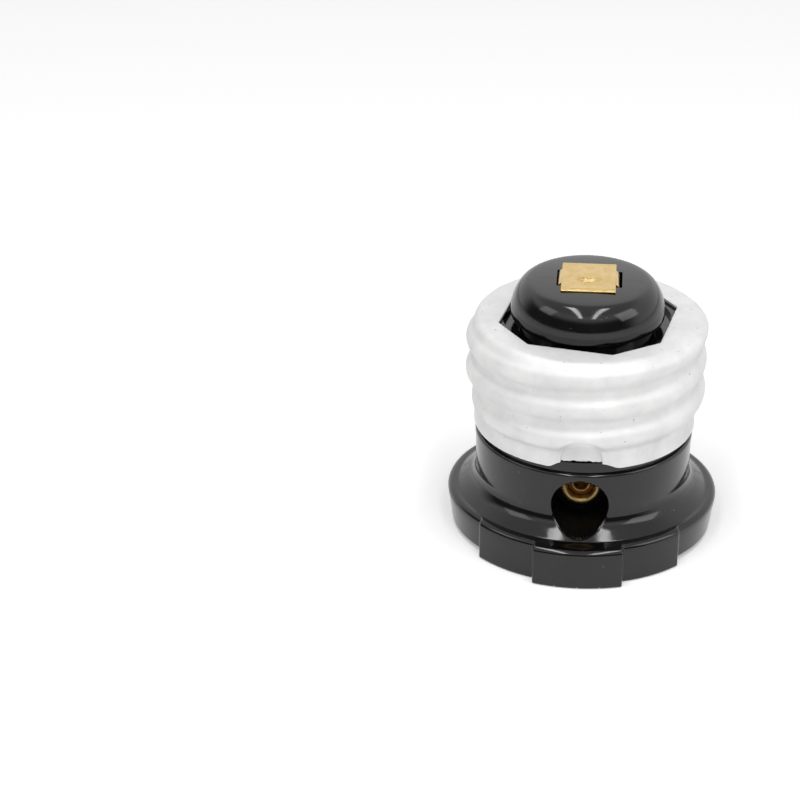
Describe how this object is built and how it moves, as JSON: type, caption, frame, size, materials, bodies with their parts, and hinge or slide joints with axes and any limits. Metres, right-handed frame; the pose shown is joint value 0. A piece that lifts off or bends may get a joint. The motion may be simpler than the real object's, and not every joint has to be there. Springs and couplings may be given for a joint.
{
  "type": "lamp socket adapter",
  "caption": "Lamp socket adapter: a threaded metal screw shell on a flanged black insulating body, with a spring contact on its dome and blade slots in the opposite face.",
  "frame": {"origin": "centre of the outlet face, on which the adapter stands", "axes": "+Z along the adapter's axis from the outlet face to the centre contact; +X along the seam between the body halves, towards the narrow slot; -Y is the front"},
  "size_m": [0.0298, 0.0318, 0.03],
  "materials": {
    "insulator": "moulded phenolic, black and glossy",
    "shell_metal": "rolled sheet, satin",
    "rivet_brass": "plain, slightly dulled",
    "contact_brass": "stamped strip, lightly rubbed"
  },
  "bodies": {
    "root": {"front_body_half": "insulator", "rear_body_half": "insulator", "screw_shell": "shell_metal", "body_rivet": "rivet_brass", "centre_contact": "contact_brass", "neutral_contact": "contact_brass"}
  },
  "joints": []
}
